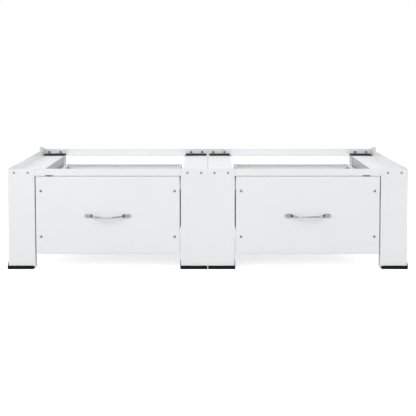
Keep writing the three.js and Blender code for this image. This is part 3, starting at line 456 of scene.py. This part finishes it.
# Shares of a nut's height and radius, of its bore, and of the screw's end that stands out of it
NUT_SHOULDER, BORE_FLOOR, NUT_CROWN = 0.82, 0.9, 0.84
BORE_RIM, TIP_END = 1.08, 0.72
TIP_SHOULDER = 0.75
HEAD_GAP = 0.02  # between a head or nut and the sheet it sits on
BOLT_TURN = 0.37  # radians from each head to the next, so that no two stand alike
PANEL_SCREW_TURN = 0.61
TURNED_TO_REAR = Matrix.Rotation(math.pi, 4, "Z")


def outline(reach, height):
    """A ring whose distance from the middle, at each angle, is what reach gives."""
    return [Vector((reach(a) * math.cos(a), -height, reach(a) * math.sin(a))) for a in ROUND_ANGLES]


def circle(radius, height):
    return outline(lambda a: radius, height)


def hexagon(radius):
    """Distance from the middle to a regular hexagon's side, by angle."""
    half_step = math.pi / 6

    def reach(angle):
        return radius * math.cos(half_step) / math.cos(angle % (2 * half_step) - half_step)

    return reach


def cross(radius, arm):
    """Distance from the middle to the outline of a cross with arms of half width arm, by angle."""

    def reach(angle):
        a = angle % (math.pi / 2)
        a = min(a, math.pi / 2 - a)
        if math.tan(a) * radius <= arm:
            return radius / math.cos(a)
        return min(radius / math.cos(a), arm / math.sin(a))

    return reach


def screw_head(name, radius, height, flange, recess, depth):
    """A domed head: flange, dome, and a recess whose outline is given."""
    rings = [circle(flange, 0.0), circle(flange, FLANGE_TOP * height)]
    rings.append(circle(DOME_SKIRT * radius, DOME_START * height))
    for degrees in DOME_DEGREES:
        out, up = math.cos(math.radians(degrees)), math.sin(math.radians(degrees))
        reach, level = DOME_CROWN + (1 - DOME_CROWN) * out, DOME_FOOT + (1 - DOME_FOOT) * up
        rings.append(circle(reach * radius, level * height))
    for share, height_share, depth_share in RECESS_LEVELS:
        level = height_share * height - depth_share * depth
        rings.append(outline(lambda a, share=share: share * recess(a), level))
    return rings_mesh(name, rings)


def nut(name, radius, height, bore, tip):
    """A hexagon nut, with the end of its screw standing out of it."""
    side = hexagon(radius)
    rings = [outline(side, 0.0), outline(side, NUT_SHOULDER * height)]
    rings += [circle(NUT_CROWN * radius, height), circle(BORE_RIM * bore, height)]
    rings += [circle(bore, BORE_FLOOR * height), circle(bore, height + TIP_SHOULDER * tip)]
    rings.append(circle(TIP_END * bore, height + tip))
    return rings_mesh(name, rings)


LEG_BOLT_HEAD = screw_head(
    "leg_bolt_head", radius=3.1 * MM, height=2.1 * MM, flange=3.35 * MM,
    recess=hexagon(1.3 * MM), depth=1.2 * MM,
)
PANEL_SCREW_HEAD = screw_head(
    "panel_screw_head", radius=3.8 * MM, height=2.2 * MM, flange=3.9 * MM,
    recess=cross(2.2 * MM, 0.5 * MM), depth=1.2 * MM,
)
BACK_NUT = nut("back_nut", radius=4.2 * MM, height=3.0 * MM, bore=1.9 * MM, tip=1.6 * MM)
BACK_FACE = BACK_HIGH.y + DEPTH_ORIGIN
WALL_FLANGE = WALL_HIGH.y + DEPTH_ORIGIN - BOX_SHEET  # inner face of the walls' rear flanges
# Rows of fasteners: name, the mesh (for a drawer's), the sheet's depth, whether they face the rear
BOLT_ROWS = (("front", 0.0, False), ("rear", STAND_DEPTH, True))
DRAWER_ROWS = (
    ("panel_screw_head", PANEL_SCREW_HEAD, 0.0, False),
    ("back_screw_head", PANEL_SCREW_HEAD, BACK_FACE, True),
    ("back_nut", BACK_NUT, WALL_FLANGE, False),
)


def fastener(name, mesh, body, seat, turn, to_rear):
    """A screw head or nut on a sheet, facing the front or the rear."""
    x, depth, z = seat
    matrix = Matrix.Translation(at(x, depth + HEAD_GAP if to_rear else depth - HEAD_GAP, z))
    if to_rear:
        matrix = matrix @ TURNED_TO_REAR
    piece(name, mesh, SCREW, body, matrix @ Matrix.Rotation(turn, 4, "Y"))


for index, (x, _) in enumerate(bolt_places()):
    turn = BOLT_TURN * index
    for end, depth, to_rear in BOLT_ROWS:
        name = f"{end}_leg_bolt_head_{index}"
        fastener(name, LEG_BOLT_HEAD, "stand", (x, depth, BOLT_Z), turn, to_rear)

for side in SIDES:
    for index, (x, z) in enumerate(panel_screw_places(BAYS[side])):
        turn = PANEL_SCREW_TURN * index + BAYS[side]  # the bay's place sets the two drawers apart
        for kind, mesh, depth, to_rear in DRAWER_ROWS:
            name = f"{side}_{kind}_{index}"
            fastener(name, mesh, f"drawer_{side}", (x, depth, z), turn, to_rear)


# ---------------------------------------------------------------------------------------------
# Drawer walls and backs, whose upper edges reach a little higher than the drawing's
# ---------------------------------------------------------------------------------------------

STRETCH_LOW, STRETCH_HIGH = 229.5, 244.0  # no hole, hem or flange corner lies between these heights
EDGE_RISE = 8.6
SAME_POINT = 1e-7


def raise_above(mesh, low, high, rise):
    """Stretches the band between two heights, so that what lies above it moves up in one piece.

    The band is cut out first, because points moved without those cuts open the drawing's thin
    triangles."""
    work = bmesh.new()
    work.from_mesh(mesh)
    for height in (low, high):
        geometry = work.verts[:] + work.edges[:] + work.faces[:]
        bmesh.ops.bisect_plane(
            work, geom=geometry, dist=SAME_POINT, plane_co=(0, 0, height), plane_no=(0, 0, 1)
        )
    for vertex in work.verts:
        share = (vertex.co.z - low) / (high - low)
        vertex.co.z += rise * min(max(share, 0.0), 1.0)
    work.to_mesh(mesh)
    work.free()


for side in SIDES:
    for part in ("left_wall", "right_wall", "back"):
        name = f"{side}_drawer_{part}"
        sheet = frame["nodes"][name].data.copy()
        sheet.name = f"{name}_sheet"
        raise_above(sheet, STRETCH_LOW * MM, STRETCH_HIGH * MM, EDGE_RISE * MM)
        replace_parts(piece(f"{name}_sheet", sheet, WHITE, f"drawer_{side}"), name)


# ---------------------------------------------------------------------------------------------
# Rubber buffers in the notches of the front rails
# ---------------------------------------------------------------------------------------------

NOTCH_FROM_LEG = 34.0
NOTCH_LENGTH = 24.0
BUFFER_LENGTH = NOTCH_LENGTH - 2 * SEAT_GAP
BUFFER_HEIGHT = 2.9
BUFFER_DEPTH = 3.0
BUFFER_CORNER = 0.8
BUFFER_CORNER_STEPS = 4
BUFFER_ENDS = ((0.0, 0.6), (0.2, 0.2), (0.6, 0.0))  # distance from an end, shrinking of its corners
BUFFER_DROP = 0.7  # its foot hangs this far under the rail, over the front panel's edge
BUFFER_RECESS = 0.15  # its face lies this far behind the rail's face
BUFFER_BOTTOM = PLATE_TOP - RAIL_SHEET - BUFFER_DROP
BUFFER_OUTER_END = LEG_WIDTH + BAY_WIDTH - NOTCH_FROM_LEG - SEAT_GAP  # from the stand's middle


def buffer_ring(x, inset):
    """The buffer's rounded outline at one place of its length."""
    radius = BUFFER_CORNER - inset
    ring = []
    for quarter, (side_y, side_z) in enumerate(((1, 1), (-1, 1), (-1, -1), (1, -1))):
        centre_y = BUFFER_DEPTH / 2 + side_y * (BUFFER_DEPTH / 2 - BUFFER_CORNER)
        centre_z = BUFFER_HEIGHT / 2 + side_z * (BUFFER_HEIGHT / 2 - BUFFER_CORNER)
        for step in range(BUFFER_CORNER_STEPS + 1):
            a = math.pi / 2 * (quarter + step / BUFFER_CORNER_STEPS)
            y, z = centre_y + radius * math.cos(a), centre_z + radius * math.sin(a)
            ring.append(MM * Vector((x, y, z)))
    return ring


BUFFER = rings_mesh("rail_buffer", [
    *(buffer_ring(x, inset) for x, inset in BUFFER_ENDS),
    *(buffer_ring(BUFFER_LENGTH - x, inset) for x, inset in reversed(BUFFER_ENDS)),
])

for side, start in (("left", -BUFFER_OUTER_END), ("right", BUFFER_OUTER_END - BUFFER_LENGTH)):
    place = Matrix.Translation(at(start, BUFFER_RECESS, BUFFER_BOTTOM))
    piece(f"{side}_rail_buffer", BUFFER, RUBBER, "stand", place)


# ---------------------------------------------------------------------------------------------
# Handles
# ---------------------------------------------------------------------------------------------

HANDLE_Z = (SCREW_LOW.z + SCREW_HIGH.z) / 2
HANDLE_REACH = 29.0
HANDLE_PAD_HEIGHT = 11.7
HANDLE_PAD_THICKNESS = 3.5
HANDLE_BAR = 5.5
HANDLE_LEANS = {"left": -1.1, "right": 1.1}  # how much higher the grip's middle is than its pads
HANDLE_STATIONS = 120
HANDLE_RING = 24
END_CROWDING = 0.25  # share of a sine in the stations' places, which brings them closer at the ends
BOW_POWER = 0.62
BOW_REACH = 1.02  # these shares count from the bow's half length
BOW_FOOT = 1.10
BOW_EASE = 0.22
FLAT_START = 0.84
PAD_SQUARE = 0.5  # the power of the pads' rounded-square section; the bar's is 1
TIP_LEAST = 0.02
TIP_THICKNESS = 0.6


def smooth_step(x, low, high):
    t = min(max((x - low) / (high - low), 0.0), 1.0)
    return t * t * (3 - 2 * t)


def blend(a, b, share):
    return a + (b - a) * share


def signed_power(value, power):
    return math.copysign(abs(value) ** power, value)


def handle_line(bay, lean):
    """The middle line of a bow handle, with y as the depth behind the front panel's face."""
    half = HANDLE_LENGTH / 2
    pad_middle = SEAT_GAP + HANDLE_PAD_THICKNESS / 2
    rise = HANDLE_REACH - HANDLE_BAR / 2 - pad_middle
    line = []
    for station in range(HANDLE_STATIONS + 1):
        t = -1 + 2 * station / HANDLE_STATIONS
        x = half * blend(t, math.sin(t * math.pi / 2), END_CROWDING)
        arch = max(0.0, 1 - (x / (HANDLE_ROOT * BOW_REACH)) ** 2) ** BOW_POWER
        out = arch * smooth_step(HANDLE_ROOT * BOW_FOOT - abs(x), 0.0, HANDLE_ROOT * BOW_EASE)
        line.append(Vector((bay + x, -(pad_middle + rise * out), HANDLE_Z + lean * out)))
    return line


def handle_ring(place, along, from_middle):
    """The section at one place: a round bar on the bow, a flat rounded tongue on a pad."""
    end = HANDLE_PAD_HEIGHT / 2
    past = max(0.0, from_middle - (HANDLE_LENGTH / 2 - end))
    tip = math.sqrt(max(TIP_LEAST, 1 - (past / end) ** 2))
    flat = smooth_step(from_middle, HANDLE_ROOT * FLAT_START, HANDLE_ROOT * BOW_FOOT)
    high = blend(HANDLE_BAR / 2, end * tip, flat)
    thick = blend(HANDLE_BAR / 2, HANDLE_PAD_THICKNESS / 2 * blend(TIP_THICKNESS, 1, tip), flat)
    square = blend(1, PAD_SQUARE, flat)
    outward = Vector((along.y, -along.x, 0)).normalized()
    ring = []
    for k in range(HANDLE_RING):
        a = 2 * math.pi * k / HANDLE_RING
        point = place + outward * (signed_power(math.cos(a), square) * thick)
        point.z += signed_power(math.sin(a), square) * high
        ring.append(at(point.x, min(point.y, -SEAT_GAP), point.z))
    return ring


def handle_mesh(name, bay, lean):
    """The bow handle of the part's drawing, with finer steps and rounded pads."""
    line = handle_line(bay, lean)
    rings = []
    for before, place, after in zip(line[:1] + line[:-1], line, line[1:] + line[-1:]):
        rings.append(handle_ring(place, (after - before).normalized(), abs(place.x - bay)))
    return rings_mesh(name, rings)


for side in SIDES:
    name = f"{side}_bow_handle"
    mesh = handle_mesh(name, BAYS[side], HANDLE_LEANS[side])
    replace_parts(piece(name, mesh, CHROME, f"drawer_{side}"), f"{side}_drawer_handle")


# ---------------------------------------------------------------------------------------------
# Floor and world
# ---------------------------------------------------------------------------------------------

FLOOR_HALF = 14.0  # metres
FLOOR_DROP = 0.0006  # metres under the feet
FLOOR_LIFT = 0.76  # what the camera sees over the floor's own light, so that it ends in plain white
FLOOR_MIRROR_LIFT = 0.25
ROOM = (0.70, 0.82)  # the room's light from the front or above, and from the sides
ROOM_BEHIND = 0.20  # more light from behind
MIRROR_ROOM = (0.35, 1.0)  # what gloss mirrors in front of the part, and behind or above it
WHITE_LIGHT = (1, 1, 1, 1)


def floor():
    """A pale floor, brighter to the camera than it is lit, which keeps the part's shadow."""
    mesh = bpy.data.meshes.new("studio_floor")
    corner = ((-1, -1), (1, -1), (1, 1), (-1, 1))
    mesh.from_pydata([(FLOOR_HALF * x, FLOOR_HALF * y, 0) for x, y in corner], [], [(0, 1, 2, 3)])
    obj = bpy.data.objects.new("studio_floor", mesh)
    bpy.context.scene.collection.objects.link(obj)
    obj.location.z = -FLOOR_DROP
    g = MaterialGraph("pale_floor")
    colour = g.mix(g.noise(scale=1.5), (0.60, 0.60, 0.604), (0.62, 0.62, 0.624))
    rough = g.remap(g.noise(scale=20.0), low=0.75, high=0.85)
    g.constants(Specular_IOR_Level=0.0, Emission_Color=WHITE_LIGHT)
    rays = g.new("ShaderNodeLightPath").outputs
    seen = g.math("MAXIMUM", rays["Is Camera Ray"], rays["Is Transmission Ray"])
    lift = g.math("MULTIPLY", seen, FLOOR_LIFT)
    mirrored = g.math("MULTIPLY", rays["Is Glossy Ray"], FLOOR_MIRROR_LIFT)
    g.feed(g.shader.inputs["Emission Strength"], g.math("MAXIMUM", lift, mirrored))
    grain = g.bump(g.noise(scale=300.0), strength=0.02, distance=0.0002)
    mesh.materials.append(g.finish(colour, rough, grain))


def world():
    """White to the camera. An even room, brighter at the sides and behind, lights the part.

    Gloss mirrors the white backdrop behind the part and above it, and a dimmer room in front."""
    made = bpy.data.worlds.new("studio_world")
    made.use_nodes = True
    bpy.context.scene.world = made
    made.node_tree.nodes.clear()
    g = Graph(made.node_tree)
    rays = g.new("ShaderNodeLightPath").outputs
    direction = g.split(g.new("ShaderNodeTexCoord").outputs["Generated"])

    def background(strength):
        node = g.new("ShaderNodeBackground")
        node.inputs["Color"].default_value = WHITE_LIGHT
        g.feed(node.inputs["Strength"], strength)
        return node.outputs["Background"]

    def choose(factor, a, b):
        node = g.new("ShaderNodeMixShader")
        for socket, source in zip(node.inputs, (factor, a, b)):
            g.feed(socket, source)
        return node.outputs["Shader"]

    sides = g.remap(g.math("ABSOLUTE", direction["X"]), *ROOM, from_low=0.0, from_high=1.0)
    behind = g.remap(direction["Y"], 0.0, ROOM_BEHIND, from_low=0.0, from_high=1.0)
    mirror_behind = g.remap(direction["Y"], *MIRROR_ROOM, from_low=-0.5, from_high=0.3)
    mirror_above = g.remap(direction["Z"], *MIRROR_ROOM, from_low=0.25, from_high=0.75)
    room = background(g.math("ADD", sides, behind))
    mirror = background(g.math("MAXIMUM", mirror_behind, mirror_above))
    lit = choose(rays["Is Glossy Ray"], room, mirror)
    seen = g.math("MAXIMUM", rays["Is Camera Ray"], rays["Is Transmission Ray"])
    out = g.new("ShaderNodeOutputWorld")
    g.feed(out.inputs["Surface"], choose(seen, lit, background(1.0)))


floor()
world()


# ---------------------------------------------------------------------------------------------
# Lamps and camera
# ---------------------------------------------------------------------------------------------

# Name, place and target in metres, size in metres, watts
LAMPS = (
    ("key_softbox", (-0.9, -3.4, 2.4), (0, 0, 0.15), (3.0, 2.0), 57),
    ("left_softbox", (-3.2, -0.6, 1.6), (0, 0, 0.2), (2.0, 1.6), 20),
    ("right_softbox", (3.2, -0.6, 1.6), (0, 0, 0.2), (2.0, 1.6), 20),
)
CAMERA_DISTANCE = 2370.4  # in front of the legs
CAMERA_HEIGHT = 665.9
CAMERA_PITCH = math.radians(2.935)
CAMERA_LENS = 65.701
CAMERA_SENSOR = 36.0
CAMERA_SHIFT = (0.0005, -0.2666)
CAMERA_CLIP = (0.05, 60.0)  # metres


def lamp(name, place, target, size, watts):
    data = bpy.data.lights.new(name, "AREA")
    data.shape = "RECTANGLE"
    data.size, data.size_y = size
    data.energy = watts
    obj = bpy.data.objects.new(name, data)
    bpy.context.scene.collection.objects.link(obj)
    obj.location = place
    obj.rotation_mode = "QUATERNION"
    obj.rotation_quaternion = (Vector(target) - Vector(place)).to_track_quat("-Z", "Y")


def photo_camera():
    """The camera of the photograph, tilted a little down, with the rest of its view as a shift."""
    data = bpy.data.cameras.new("photo_camera")
    data.sensor_width = CAMERA_SENSOR
    data.lens = CAMERA_LENS
    data.shift_x, data.shift_y = CAMERA_SHIFT
    data.clip_start, data.clip_end = CAMERA_CLIP
    obj = bpy.data.objects.new("photo_camera", data)
    bpy.context.scene.collection.objects.link(obj)
    obj.location = at(0.0, -CAMERA_DISTANCE, CAMERA_HEIGHT)
    obj.rotation_euler = (math.pi / 2 - CAMERA_PITCH, 0, 0)
    return obj


for values in LAMPS:
    lamp(*values)
bpy.context.scene.camera = photo_camera()
bpy.context.scene.view_settings.view_transform = "Standard"
